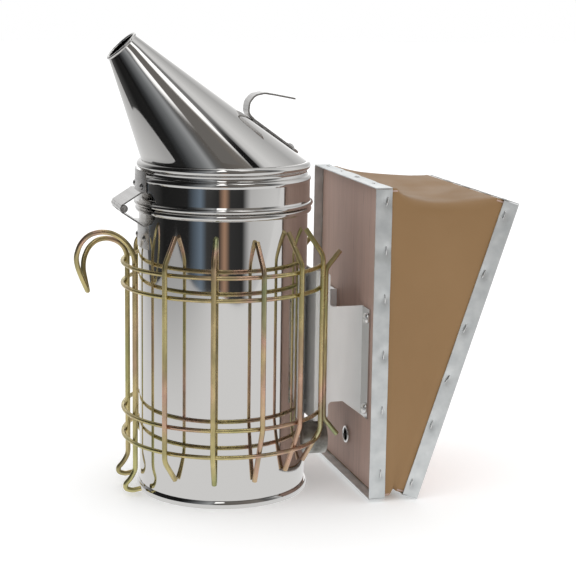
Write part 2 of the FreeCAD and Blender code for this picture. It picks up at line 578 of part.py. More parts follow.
def edging(low_y_side, high_y_side):
    """Four strips of thin metal nailed round a board's edges, by name. The sides are named after the bellows'."""
    half, top = BOARD_W / 2, BOARD_H
    side_low, side_high = EDGING_T + RUN_GAP, top - EDGING_T - RUN_GAP
    return {
        low_y_side: box((0, -half, side_low), (EDGING_W, -half + EDGING_T, side_high)),
        high_y_side: box((0, half - EDGING_T, side_low), (EDGING_W, half, side_high)),
        "top": box((0, -half, top - EDGING_T), (EDGING_W, half, top)),
        "bottom": box((0, -half, 0), (EDGING_W, half, EDGING_T)),
    }


def staple(middle, along, inward, thick):
    """A staple driven flush through edging and leather into the wood."""
    ends = [middle + along * (sign * STAPLE_CROWN / 2) for sign in (-1, 1)]
    points = [ends[0] + inward * STAPLE_LEG, ends[0], ends[1], ends[1] + inward * STAPLE_LEG]
    return wire(points, thick, STAPLE_WIRE)


def staples(side_shares, thick):
    """All the staples of one board."""
    half = BOARD_W / 2
    found = []
    for share in side_shares:
        up = share * BOARD_H
        found.append(staple(Vector(STAPLE_IN, -half, up), Z, Y, thick))
        found.append(staple(Vector(STAPLE_IN, half, up), Z, -Y, thick))
    for share in END_STAPLES:
        across = share * BOARD_W
        found.append(staple(Vector(STAPLE_IN, across, BOARD_H), Y, -Z, thick))
        found.append(staple(Vector(STAPLE_IN, across, 0), Y, Z, thick))
    return found


def eyelet():
    """The metal grommet that lines the air hole, in line with the can's inlet."""
    hole_z = INLET_Z - BELLOWS_Z
    outer = EYELET_R + SHEET
    rim_x = BOARD_RECESS - RUN_GAP - SHEET
    ring = rod(outer, Vector(rim_x, 0, hole_z), Vector(INNER_FACE, 0, hole_z))
    ring = ring.fuse(Part.makeTorus(outer, SHEET, Vector(rim_x, 0, hole_z), X))
    return ring.cut(rod(EYELET_R, Vector(0, 0, hole_z), Vector(INNER_FACE + 1, 0, hole_z)))


def placed(shape, place):
    copy = shape.copy()
    copy.Placement = place.multiply(copy.Placement)
    return copy


def leather():
    """The skin between the boards: a wedge-shaped sleeve whose edges are tucked under both edgings."""
    def ring_points(depth, start):
        local = [(start, depth), (INNER_FACE, depth), (INNER_FACE, BOARD_H - depth), (start, BOARD_H - depth)]
        front = [FRONT.multVec(Vector(x, 0, z)) for x, z in local]
        rear = [REAR.multVec(Vector(x, 0, z)) for x, z in local]
        loop = [front[0], front[1], rear[1], rear[0], rear[3], rear[2], front[2], front[3]]
        return [(p.x, p.z) for p in loop]

    outside = slab(2 * WOOD_HALF_W + 2 * LEATHER_T, 0, *ring_points(EDGING_T, LEATHER_TUCK))
    inside = slab(2 * WOOD_HALF_W, 0, *ring_points(COVER, LEATHER_TUCK - 1))
    thick = STAPLE_WIRE + 2 * RUN_GAP
    holes = [placed(s, FRONT) for s in staples(FRONT_STAPLES, thick)]
    holes += [placed(s, REAR) for s in staples(REAR_STAPLES, thick)]
    return outside.cut(inside).cut(holes)


def hinge_strip():
    """A fold of leather between the boards' feet, which they swing on."""
    half_gap, wall, reach = HINGE_GAP / 2, 0.9, 12.0
    lean = math.radians(OPEN_ANGLE)
    fx, hz = BELLOWS_HINGE_X - half_gap + RUN_GAP, BELLOWS_Z + COVER + SIDE_GAP
    rear_up = hz + REAR_LIFT - BELLOWS_HINGE_Z
    rear_foot = hinge_point + LEAN.multVec(Vector(half_gap - RUN_GAP, 0, rear_up))
    up = Vector(math.sin(lean), 0, math.cos(lean))
    square = Vector(-math.cos(lean), 0, math.sin(lean)) * wall
    rear_top = rear_foot + up * reach
    return slab(2 * WOOD_HALF_W - 8, 0, (fx, hz), (rear_foot.x, rear_foot.z), (rear_top.x, rear_top.z),
                (rear_top.x + square.x, rear_top.z + square.z), (fx + half_gap, hz + 2.2 + wall),
                (fx + wall, hz + reach), (fx, hz + reach))


def bellows_spring():
    """The coil spring between the boards, across the middle of their angle."""
    half = math.radians(OPEN_ANGLE / 2)
    free = 2 * SPRING_AT * math.sin(half) + HINGE_GAP
    turn_in = SPRING_R + SPRING_WIRE                       # keeps the end coils off the leaning boards
    length = free - 2 * (turn_in * math.tan(half) + SPRING_WIRE)
    helix = Part.makeHelix(length / SPRING_TURNS, length, SPRING_R)
    start = helix.Edges[0].valueAt(helix.Edges[0].FirstParameter)
    tangent = helix.Edges[0].tangentAt(helix.Edges[0].FirstParameter)
    section = Part.Wire(Part.makeCircle(SPRING_WIRE / 2, start, tangent))
    coil = Part.Wire(helix).makePipeShell([section], True, True)
    middle = Vector(BELLOWS_HINGE_X + SPRING_AT * math.sin(half), 0, BELLOWS_HINGE_Z + SPRING_AT * math.cos(half))
    across = Rotation(Z, Vector(math.cos(half), 0, -math.sin(half)))
    coil.Placement = Placement(middle - across.multVec(Z) * (length / 2), across)
    return coil


save("front_board", placed(board(True), FRONT))
save("rear_board", placed(board(False), REAR))
for name, strip in edging("near", "far").items():
    save("front_edging_" + name, placed(strip, FRONT))
for name, strip in edging("far", "near").items():
    save("rear_edging_" + name, placed(strip, REAR))
save("front_edging_staples", *[placed(s, FRONT) for s in staples(FRONT_STAPLES, STAPLE_WIRE)])
save("rear_edging_staples", *[placed(s, REAR) for s in staples(REAR_STAPLES, STAPLE_WIRE)])
save("air_eyelet", placed(eyelet(), FRONT))
save("bellows_leather", leather())
save("bellows_hinge_strip", hinge_strip())
save("bellows_spring", bellows_spring())
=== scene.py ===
"""The looks of a bee smoker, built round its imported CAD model.

Metres, +Z up, the bellows towards +X and the spout leaning over -X.
"""
import json
import math
import random

import bpy
from mathutils import Matrix, Vector


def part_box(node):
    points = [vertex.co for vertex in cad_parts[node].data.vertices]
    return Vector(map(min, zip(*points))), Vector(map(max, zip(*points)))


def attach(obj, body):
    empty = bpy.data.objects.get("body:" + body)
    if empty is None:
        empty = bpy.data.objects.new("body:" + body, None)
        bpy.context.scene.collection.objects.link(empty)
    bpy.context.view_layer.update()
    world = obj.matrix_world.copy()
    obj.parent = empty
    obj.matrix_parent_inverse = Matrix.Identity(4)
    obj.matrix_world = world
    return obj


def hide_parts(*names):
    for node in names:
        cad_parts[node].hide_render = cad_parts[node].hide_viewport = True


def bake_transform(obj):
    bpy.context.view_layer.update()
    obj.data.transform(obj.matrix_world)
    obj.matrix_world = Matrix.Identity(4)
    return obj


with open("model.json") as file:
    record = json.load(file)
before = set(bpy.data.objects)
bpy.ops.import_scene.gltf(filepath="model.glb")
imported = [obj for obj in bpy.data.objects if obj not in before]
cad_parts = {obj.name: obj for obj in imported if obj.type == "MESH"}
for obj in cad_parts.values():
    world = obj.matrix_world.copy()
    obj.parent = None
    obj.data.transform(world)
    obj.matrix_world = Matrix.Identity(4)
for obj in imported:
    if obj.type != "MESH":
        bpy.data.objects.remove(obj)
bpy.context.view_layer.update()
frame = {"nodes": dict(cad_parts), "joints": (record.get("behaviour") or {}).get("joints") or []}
nodes = frame["nodes"]
bpy.ops.object.select_all(action="DESELECT")

# ---- Fire can ----
# A can of thin stainless sheet with a rolled bead near the top and a seamed floor, buffed to a mirror.
# Handling leaves faint smears, and the rolling leaves a soft wobble that shows only in what the metal mirrors.


def material_of(name, metallic, colour, roughness):
    """A material with one Principled shader."""
    material = bpy.data.materials.new(name)
    material.use_nodes = True
    shader = material.node_tree.nodes["Principled BSDF"]
    shader.inputs["Metallic"].default_value = metallic
    shader.inputs["Base Color"].default_value = (*colour, 1)
    shader.inputs["Roughness"].default_value = roughness
    return material, shader


def pattern(material, scale, stretch=(1, 1, 1), detail=3.0, lean=0.0):
    """Noise in the piece's own metres. A large stretch draws it out along that axis; lean turns it about Y."""
    tree = material.node_tree
    place = tree.nodes.new("ShaderNodeTexCoord")
    mapping = tree.nodes.new("ShaderNodeMapping")
    mapping.vector_type = "TEXTURE"
    mapping.inputs["Scale"].default_value = stretch
    mapping.inputs["Rotation"].default_value = (0, lean, 0)
    tree.links.new(place.outputs["Object"], mapping.inputs["Vector"])
    texture = tree.nodes.new("ShaderNodeTexNoise")
    texture.inputs["Scale"].default_value = scale
    texture.inputs["Detail"].default_value = detail
    tree.links.new(mapping.outputs["Vector"], texture.inputs["Vector"])
    return texture.outputs[0]


def shades(material, source, *stops):
    """Colours or greys spread over a pattern, each at its place from 0 to 1."""
    node = material.node_tree.nodes.new("ShaderNodeValToRGB")
    elements = node.color_ramp.elements
    while len(elements) < len(stops):
        elements.new(0.5)
    for element, (place, shade) in zip(elements, stops):
        element.position = place
        red, green, blue = shade if hasattr(shade, "__len__") else (shade, shade, shade)
        element.color = (red, green, blue, 1)
    material.node_tree.links.new(source, node.inputs["Fac"])
    return node.outputs["Color"]


def multiply(material, first, second):
    """One colour darkened by another. Sockets 6 and 7 of a Mix node take the colours; 2 gives the result."""
    node = material.node_tree.nodes.new("ShaderNodeMix")
    node.data_type = "RGBA"
    node.blend_type = "MULTIPLY"
    node.inputs["Factor"].default_value = 1.0
    material.node_tree.links.new(first, node.inputs[6])
    material.node_tree.links.new(second, node.inputs[7])
    return node.outputs[2]


def relief(material, shader, *layers):
    """Bumps, one over another: each layer is a pattern, its strength, and its depth in metres."""
    below = None
    for height, strength, depth in layers:
        node = material.node_tree.nodes.new("ShaderNodeBump")
        node.inputs["Strength"].default_value = strength
        node.inputs["Distance"].default_value = depth
        material.node_tree.links.new(height, node.inputs["Height"])
        if below:
            material.node_tree.links.new(below, node.inputs["Normal"])
        below = node.outputs["Normal"]
    material.node_tree.links.new(below, shader.inputs["Normal"])


def feed(material, shader, socket, source):
    """Drives one of the shader's inputs."""
    material.node_tree.links.new(source, shader.inputs[socket])


def dress(name, material):
    """Gives a CAD node its material."""
    nodes[name].data.materials.clear()
    nodes[name].data.materials.append(material)


mirror_steel, shader = material_of("mirror_steel", 1.0, (0.72, 0.71, 0.695), 0.05)
smears = pattern(mirror_steel, 45, (1, 1, 3))
feed(mirror_steel, shader, "Roughness",
     shades(mirror_steel, smears, (0.35, 0.03), (0.62, 0.055), (0.8, 0.12)))
wobble = pattern(mirror_steel, 22, (1, 1, 2.2), 0.0)
relief(mirror_steel, shader, (wobble, 0.05, 0.002))
for name in ("can_wall", "can_base", "lid_collar"):
    dress(name, mirror_steel)

# ---- Fire grate and air inlet ----
# The grate is a punched plate that has seen a little heat. The inlet is a stub of tube soldered through the
# wall, grey and blotchy from the flux, because nobody buffs it.

dull_steel, shader = material_of("dull_steel", 1.0, (0.45, 0.45, 0.43), 0.4)
blotches = pattern(dull_steel, 130, detail=5.0)
feed(dull_steel, shader, "Base Color",
     shades(dull_steel, blotches,
            (0.3, (0.14, 0.135, 0.12)), (0.5, (0.32, 0.315, 0.29)), (0.7, (0.52, 0.52, 0.49))))
feed(dull_steel, shader, "Roughness", shades(dull_steel, blotches, (0.3, 0.52), (0.7, 0.3)))
relief(dull_steel, shader, (pattern(dull_steel, 400), 0.12, 0.0006))
for name in ("inlet_tube", "fire_grate"):
    dress(name, dull_steel)

# ---- Cone and spout of the lid ----
# One sheet rolled into a leaning cone, with a band at its foot that sits in the collar and a lip rolled
# outwards at the mouth. Polished like the can. The rolled sheet's seam is not shown.

CONE_TURNS, CONE_RINGS = 256, 18
MOUTH_R, MOUTH_LEAN, LIP_R, CONE_SHEET = 0.0105, math.radians(43), 0.00045, 0.0008
FOOT_ABOVE_COLLAR, NEAR_ENOUGH = 0.0002, 1e-5
cone_low, cone_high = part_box("lid_cone")
foot_r, foot_z = cone_high.x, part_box("lid_collar")[1].z + FOOT_ABOVE_COLLAR
lip_ring = MOUTH_R - LIP_R
mouth = Vector((cone_low.x + lip_ring * math.cos(MOUTH_LEAN) + 2 * LIP_R, 0,
                cone_high.z - lip_ring * math.sin(MOUTH_LEAN) - 2 * LIP_R))
bpy.ops.mesh.primitive_circle_add(vertices=CONE_TURNS, radius=lip_ring, location=mouth,
                                  rotation=(0, -MOUTH_LEAN, 0))
top_ring = bpy.context.object
bpy.ops.mesh.primitive_circle_add(vertices=CONE_TURNS, radius=foot_r, location=(0, 0, foot_z))
cone = bpy.context.object
cone.name = "cone_and_spout"
top_ring.select_set(True)
bpy.ops.object.join()
bpy.ops.object.transform_apply()
bpy.ops.object.mode_set(mode="EDIT")
bpy.ops.mesh.select_all(action="SELECT")
bpy.ops.mesh.bridge_edge_loops(interpolation="LINEAR", number_cuts=CONE_RINGS)
bpy.ops.object.mode_set(mode="OBJECT")


def pick(obj, wanted):
    """Selects the vertices of a mesh that a test of their place is true for, and stays in edit mode."""
    for part in (obj.data.polygons, obj.data.edges):
        part.foreach_set("select", [False] * len(part))
    obj.data.vertices.foreach_set("select", [bool(wanted(v.co)) for v in obj.data.vertices])
    bpy.ops.object.mode_set(mode="EDIT")
    bpy.ops.mesh.select_mode(type="VERT")


pick(cone, lambda place: place.z < foot_z + NEAR_ENOUGH)
bpy.ops.mesh.extrude_region_move(TRANSFORM_OT_translate={"value": (0, 0, cone_low.z - foot_z)})
bpy.ops.mesh.select_all(action="SELECT")
bpy.ops.mesh.normals_make_consistent(inside=False)
bpy.ops.object.mode_set(mode="OBJECT")


def apply_modifier(obj, kind, **settings):
    """Adds a modifier, gives it its settings and applies it."""
    bpy.ops.object.select_all(action="DESELECT")
    obj.select_set(True)
    bpy.context.view_layer.objects.active = obj
    modifier = obj.modifiers.new(kind.lower(), kind)
    for name, value in settings.items():
        setattr(modifier, name, value)
    bpy.ops.object.modifier_apply(modifier=modifier.name)


apply_modifier(cone, "SOLIDIFY", thickness=CONE_SHEET, offset=-1)
bpy.ops.mesh.primitive_torus_add(major_segments=CONE_TURNS // 2, minor_segments=12,
                                 major_radius=lip_ring, minor_radius=2 * LIP_R,
                                 location=mouth, rotation=(0, -MOUTH_LEAN, 0))
cone.select_set(True)
bpy.context.view_layer.objects.active = cone
bpy.ops.object.join()
bpy.ops.object.transform_apply()
bpy.ops.object.shade_smooth_by_angle(angle=math.radians(30))
cone.data.materials.clear()
cone.data.materials.append(mirror_steel)
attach(cone, "lid")
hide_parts("lid_cone")

# ---- Lift tab, hinge and small fasteners ----
# Strip and pins of the same stainless, cut and bent but not buffed: satin, with fine lines from the rolling.
# Screws, bolts, nuts and the air hole's eyelet are bright plated steel.

satin_steel, shader = material_of("satin_steel", 1.0, (0.62, 0.61, 0.60), 0.25)
lines = pattern(satin_steel, 300, (1, 12, 1))
feed(satin_steel, shader, "Roughness", shades(satin_steel, lines, (0.35, 0.16), (0.7, 0.34)))
relief(satin_steel, shader, (lines, 0.05, 0.0003))
for name in ("lift_tab", "can_hinge_leaf", "lid_hinge_leaf", "lid_hinge_pin",
             "can_hinge_rivets", "lid_hinge_rivets", "lift_tab_rivet"):
    dress(name, satin_steel)

bright_plate, shader = material_of("bright_plate", 1.0, (0.78, 0.78, 0.77), 0.12)
wear = pattern(bright_plate, 260)
feed(bright_plate, shader, "Roughness", shades(bright_plate, wear, (0.35, 0.08), (0.75, 0.3)))
for name in ("bracket_bolts", "bracket_nuts", "bracket_board_screws", "air_eyelet"):
    dress(name, bright_plate)

# ---- Wire guard and hook ----
# Steel wire, cut, bent and spot-welded, then zinc plated and dipped yellow. The film is olive to straw
# yellow and turns pink or green from place to place, as such a dip does.

yellow_zinc, shader = material_of("yellow_zinc", 1.0, (0.6, 0.52, 0.26), 0.25)
film = pattern(yellow_zinc, 24, (1, 1, 2), 2.0)
fine_film = pattern(yellow_zinc, 150, (1, 1, 2.5), 3.0)
hues = shades(yellow_zinc, film,
              (0.30, (0.50, 0.52, 0.24)), (0.40, (0.68, 0.60, 0.30)), (0.52, (0.66, 0.54, 0.30)),
              (0.60, (0.70, 0.46, 0.36)), (0.70, (0.50, 0.53, 0.30)))
fine_hues = shades(yellow_zinc, fine_film, (0.3, (0.70, 0.72, 0.67)), (0.65, (1.04, 1.0, 0.95)))
feed(yellow_zinc, shader, "Base Color", multiply(yellow_zinc, hues, fine_hues))
feed(yellow_zinc, shader, "Roughness", shades(yellow_zinc, fine_film, (0.3, 0.40), (0.7, 0.2)))
relief(yellow_zinc, shader, (pattern(yellow_zinc, 700), 0.08, 0.0003))
for name in nodes:
    if name.startswith("guard_") or name == "hook_wire":
        dress(name, yellow_zinc)

# ---- Bracket ----
# A channel folded from mill-finished sheet, between the can and the front board. The web and the wings are
# left frosted and pale; the flanges, rubbed bright where they were pressed down to the board, mirror it.

WINGS_END, FLANGES_START = 0.0269, 0.0273
mill_steel, shader = material_of("mill_steel", 0.55, (0.80, 0.80, 0.79), 0.45)
tree = mill_steel.node_tree
place = tree.nodes.new("ShaderNodeTexCoord")
axes = tree.nodes.new("ShaderNodeSeparateXYZ")
tree.links.new(place.outputs["Object"], axes.inputs[0])
from_middle = tree.nodes.new("ShaderNodeMath")
from_middle.operation = "ABSOLUTE"
tree.links.new(axes.outputs["Y"], from_middle.inputs[0])
on_flange = tree.nodes.new("ShaderNodeMapRange")
on_flange.inputs["From Min"].default_value = WINGS_END
on_flange.inputs["From Max"].default_value = FLANGES_START
tree.links.new(from_middle.outputs[0], on_flange.inputs["Value"])
flange = on_flange.outputs["Result"]
feed(mill_steel, shader, "Roughness", shades(mill_steel, flange, (0.0, 0.45), (1.0, 0.12)))
feed(mill_steel, shader, "Metallic", shades(mill_steel, flange, (0.0, 0.12), (1.0, 1.0)))
frost = pattern(mill_steel, 160, (1, 1, 6))
waviness = pattern(mill_steel, 60, (1, 1, 3), 0.0)
tone = shades(mill_steel, flange, (0.0, (0.90, 0.90, 0.89)), (1.0, (0.62, 0.62, 0.61)))
feed(mill_steel, shader, "Base Color",
     multiply(mill_steel, tone, shades(mill_steel, frost, (0.3, 0.94), (0.7, 1.0))))
relief(mill_steel, shader, (waviness, 0.10, 0.001), (frost, 0.04, 0.0003))
dress("bellows_bracket", mill_steel)

# ---- Boards ----
# Two boards of plywood faced with a reddish-brown veneer, sanded but not varnished. The veneer's grain runs
# up the board, fine and close, with slightly darker bands and small dark pores.

LEAN = math.radians(18.4)
for name, lean in (("front_board", 0.0), ("rear_board", LEAN)):
    plywood, shader = material_of("plywood_" + name, 0.0, (0.44, 0.32, 0.28), 0.6)
    fibres = pattern(plywood, 420, (1, 1, 30), 4.0, lean=lean)
    bands = pattern(plywood, 32, (1, 1, 5), 4.0, lean=lean)
    pores = pattern(plywood, 900, (1, 1, 22), 1.0, lean=lean)
    veneer = shades(plywood, bands, (0.25, (0.475, 0.325, 0.270)), (0.75, (0.535, 0.378, 0.320)))
    veneer = multiply(plywood, veneer, shades(plywood, fibres, (0.3, 0.90), (0.6, 1.0), (0.8, 1.03)))
    veneer = multiply(plywood, veneer, shades(plywood, pores, (0.26, 0.72), (0.34, 1.0)))
    feed(plywood, shader, "Base Color", veneer)
    relief(plywood, shader, (fibres, 0.25, 0.0003))
    dress(name, plywood)

# ---- Metal edging of the boards ----
# Four strips of tinned sheet stapled round each board's edges over the leather. Each staple has drawn the
# thin metal down into a small dimple, and the cut strips are never quite flat.

EDGE_SHEET = 0.0006
CELLS_ACROSS, CELL_ALONG = 14, 0.0008
DIMPLE_DEPTH, DIMPLE_R, DIMPLE_FALL = 0.0006, 0.0035, 1.6
DIMPLE_NARROW, DIMPLE_LONG = 1.1, 0.75
WAVES = ((0.00010, 95, 3), (0.00007, 210, 5))  # height, radians in a metre, and how far chance shifts it
WAVE_STILL, LIFTED_OUT = 0.3, 0.0001
STAPLE_IN = 0.0068
SIDE_STAPLES = {"front": (0.0157, 0.0540, 0.0872, 0.1206, 0.1488, 0.1773),
                "rear": (0.0088, 0.0455, 0.0740, 0.1059, 0.1398, 0.1761)}
END_STAPLES = (-0.036, -0.005, 0.026, 0.053)
REAR_LIFT = 0.0032

edge_low, edge_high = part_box("front_edging_bottom")
top_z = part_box("front_edging_top")[1].z
board_half, board_tall, strip_wide = edge_high.y, top_z - edge_low.z, edge_high.x - edge_low.x
hinge = Vector(next(j for j in frame["joints"] if j["name"] == "bellows_squeeze")["pos_m"])
leaned = Matrix.Rotation(LEAN, 3, "Y")
front_place = Matrix.Translation((edge_low.x, 0, edge_low.z))
rear_corner = hinge + leaned @ Vector((hinge.x - edge_low.x, 0, edge_low.z + REAR_LIFT - hinge.z))
rear_place = Matrix.Translation(rear_corner) @ (leaned @ Matrix.Rotation(math.pi, 3, "Z")).to_4x4()
PLACES = {"front": front_place, "rear": rear_place}

tinned, shader = material_of("tinned_strip", 0.8, (0.66, 0.68, 0.70), 0.34)
spangle = pattern(tinned, 120, detail=2.0)
stains = pattern(tinned, 26, detail=5.0)
tone = shades(tinned, spangle, (0.3, (0.64, 0.665, 0.67)), (0.7, (0.80, 0.82, 0.82)))
stain_tone = shades(tinned, stains, (0.28, (0.80, 0.80, 0.77)), (0.42, (1, 1, 1)))
feed(tinned, shader, "Base Color", multiply(tinned, tone, stain_tone))
feed(tinned, shader, "Roughness", shades(tinned, stains, (0.35, 0.50), (0.65, 0.38)))
buckles, grit = pattern(tinned, 60, detail=1.0), pattern(tinned, 700)
relief(tinned, shader, (buckles, 0.05, 0.0012), (grit, 0.15, 0.0002))


def mesh_object(name):
    """The active object, under its final name."""
    made = bpy.context.object
    made.name = name
    return made


def strip(board, side):
    """One strip with its dimples, made in its board's own axes and put in place.

    X runs in from the edging's outer edge and Z up the board. The upright strips stop short of the end strips.
    """
    upright = side in ("near", "far")
    length = board_tall - 2.5 * EDGE_SHEET if upright else 2 * board_half
    cells_along = int(length / CELL_ALONG)
    bpy.ops.mesh.primitive_grid_add(x_subdivisions=CELLS_ACROSS, y_subdivisions=cells_along, size=1)
    made = mesh_object(board + "_strip_" + side)
    turned_round = board == "rear"
    shake = random.Random(made.name)
    bends = [shake.uniform(-1, 1) for _ in WAVES]
    if upright:
        staples_at = [up - board_tall / 2 for up in SIDE_STAPLES[board]]
    else:
        staples_at = END_STAPLES
    outer = board_half if upright else board_tall
    for vertex in made.data.vertices:
        across, along = (vertex.co.x + 0.5) * strip_wide, vertex.co.y * length
        sunk = 0.0
        for at in staples_at:
            away = math.hypot((across - STAPLE_IN) * DIMPLE_NARROW, (along - at) * DIMPLE_LONG) / DIMPLE_R
            sunk += DIMPLE_DEPTH * math.exp(-away * away * DIMPLE_FALL)
        wave = 0.0
        for (size, pace, shift), bend in zip(WAVES, bends):
            wave += size * math.sin(along * pace + shift * bend)
        sunk += wave * (across / strip_wide - WAVE_STILL) - LIFTED_OUT
        if upright:
            sign = -1 if (side == "near") != turned_round else 1
            vertex.co = Vector((across, sign * (outer - EDGE_SHEET / 2 - sunk), along + board_tall / 2))
        else:
            level = outer - EDGE_SHEET / 2 - sunk if side == "top" else EDGE_SHEET / 2 + sunk
            vertex.co = Vector((across, along, level))
    made.data.transform(PLACES[board])
    bpy.ops.object.mode_set(mode="EDIT")
    bpy.ops.mesh.select_all(action="SELECT")
    bpy.ops.mesh.normals_make_consistent(inside=False)
    bpy.ops.object.mode_set(mode="OBJECT")
    apply_modifier(made, "SOLIDIFY", thickness=EDGE_SHEET, offset=0)
    bpy.ops.object.shade_smooth_by_angle(angle=math.radians(35))
    made.data.materials.append(tinned)
    return made


for board, body in (("front", "can"), ("rear", "rear_board")):
    for side in ("near", "far", "top", "bottom"):
        made = strip(board, side)
        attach(made, body)
        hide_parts(board + "_edging_" + side)

# ---- Staples ----
# Staples of bright steel wire, hammered through strip and leather into the wood. Each crown shows as a short
# bar down in its dimple, and no two are quite in line.

STAPLE_WIRE, STAPLE_CROWN, STAPLE_LEG = 0.0008, 0.005, 0.004
SKEW = 0.25


def staple(place, along, inward):
    """One staple as a bent wire: its place, the way its crown lies, and the way its legs go."""
    curve = bpy.data.curves.new("staple", "CURVE")
    curve.dimensions = "3D"
    curve.bevel_depth = STAPLE_WIRE / 2
    curve.bevel_resolution = 2
    curve.use_fill_caps = True
    half = STAPLE_CROWN / 2
    corner = STAPLE_WIRE * 0.8
    shoulder = corner * 0.3
    route = [(-half, STAPLE_LEG), (-half, corner), (-half + shoulder, shoulder), (-half + corner, 0),
             (half - corner, 0), (half - shoulder, shoulder), (half, corner), (half, STAPLE_LEG)]
    spline = curve.splines.new("POLY")
    spline.points.add(len(route) - 1)
    for point, (sideways, deep) in zip(spline.points, route):
        point.co = (*(place + along * sideways + inward * (deep + STAPLE_WIRE * 0.15)), 1)
    made = bpy.data.objects.new("staple", curve)
    bpy.context.scene.collection.objects.link(made)
    return made


for board, body in (("front", "can"), ("rear", "rear_board")):
    up, across = Vector((0, 0, 1)), Vector((0, 1, 0))
    made = []
    shake = random.Random(board)
    for at in SIDE_STAPLES[board]:
        for sign in (-1, 1):
            tilt = (up + Vector((shake.uniform(-SKEW, SKEW), 0, 0))).normalized()
            made.append(staple(Vector((STAPLE_IN, sign * board_half, at)), tilt, across * -sign))
    for at in END_STAPLES:
        for level, inward in ((0, up), (board_tall, -up)):
            tilt = (across + Vector((shake.uniform(-SKEW, SKEW), 0, 0))).normalized()
            made.append(staple(Vector((STAPLE_IN, at, level)), tilt, inward))
    bpy.ops.object.select_all(action="DESELECT")
    for one in made:
        one.select_set(True)
    bpy.context.view_layer.objects.active = made[0]
    bpy.ops.object.convert(target="MESH")
    bpy.ops.object.join()
    staples = mesh_object(board + "_staples")
    staples.data.transform(PLACES[board])
    bpy.ops.object.shade_smooth_by_angle(angle=math.radians(40))
    staples.data.materials.clear()
    staples.data.materials.append(bright_plate)
    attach(staples, body)
    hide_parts(board + "_edging_staples")

# ---- Bellows leather ----
# One skin of tan coated leather wrapped round both boards and stapled under the strips. Between the boards it
# hangs free: the top sinks in the middle, the sides draw in a little, and the foot crumples at the fold.

LEATHER, CLEAR = 0.0010, 0.0001
WOOD_T, RECESS, TUCK = 0.008, 0.0055, 0.0058
CORNER = 0.0022
ROUND, SPAN = 168, 52  # cells round the boards, and from one board to the other
TOP_SINK, LESS_AT_FAR_SIDE, MORE_IN_MIDDLE = 0.0054, 0.0044, 0.0020
SIDE_DRAW, FOOT_RISE, CREASE = 0.0022, 0.0030, 0.0007
FULL_GAP, SMOOTHINGS = 0.03, 4

tan_leather, shader = material_of("tan_leather", 0.0, (0.30, 0.175, 0.085), 0.42)
patches = pattern(tan_leather, 14, detail=3.0)
feed(tan_leather, shader, "Base Color",
     shades(tan_leather, patches, (0.3, (0.264, 0.149, 0.058)), (0.7, (0.290, 0.168, 0.070))))
shader.inputs["Specular IOR Level"].default_value = 0.45
sheen, ripples = pattern(tan_leather, 40), pattern(tan_leather, 18, (1, 1, 2.5), 2.0)
pebbles = pattern(tan_leather, 1400, detail=2.0)
feed(tan_leather, shader, "Roughness", shades(tan_leather, sheen, (0.35, 0.50), (0.7, 0.62)))
relief(tan_leather, shader, (ripples, 0.12, 0.004), (pebbles, 0.12, 0.0002))

skin_half = board_half - EDGE_SHEET - LEATHER / 2 - CLEAR
skin_low, skin_high = EDGE_SHEET + LEATHER / 2 + CLEAR, board_tall - EDGE_SHEET - LEATHER / 2 - CLEAR
inner = RECESS + WOOD_T


def round_the_board(share):
    """Y and height of a place on a board's rim, from 0 at the middle of the foot round to 1."""
    wide, tall = 2 * (skin_half - CORNER), skin_high - skin_low - 2 * CORNER
    quarter = math.pi / 2 * CORNER
    total = 2 * (wide + tall + 2 * quarter)
    left = share * total
    runs = [(wide / 2, (0, skin_low), (-1, 0)), (quarter, None, None),
            (tall, (-skin_half, skin_low + CORNER), (0, 1)), (quarter, None, None),
            (wide, (-skin_half + CORNER, skin_high), (1, 0)), (quarter, None, None),
            (tall, (skin_half, skin_high - CORNER), (0, -1)), (quarter, None, None),
            (wide / 2 + 1e-9, (skin_half - CORNER, skin_low), (-1, 0))]
    corners = {1: ((-skin_half + CORNER, skin_low + CORNER), 270),
               3: ((-skin_half + CORNER, skin_high - CORNER), 180),
               5: ((skin_half - CORNER, skin_high - CORNER), 90),
               7: ((skin_half - CORNER, skin_low + CORNER), 0)}
    for number, (length, start, way) in enumerate(runs):
        if left > length:
            left -= length
            continue
        if start:
            return start[0] + way[0] * left, start[1] + way[1] * left
        (cy, cz), angle = corners[number]
        turn = math.radians(angle - 90 * left / length)
        return cy + CORNER * math.cos(turn), cz + CORNER * math.sin(turn)
    return 0.0, skin_low


def bump_at(value, middle, width):
    """A smooth hump: 1 at its middle and close to 0 beyond twice its width."""
    return math.exp(-((value - middle) / width) ** 2)


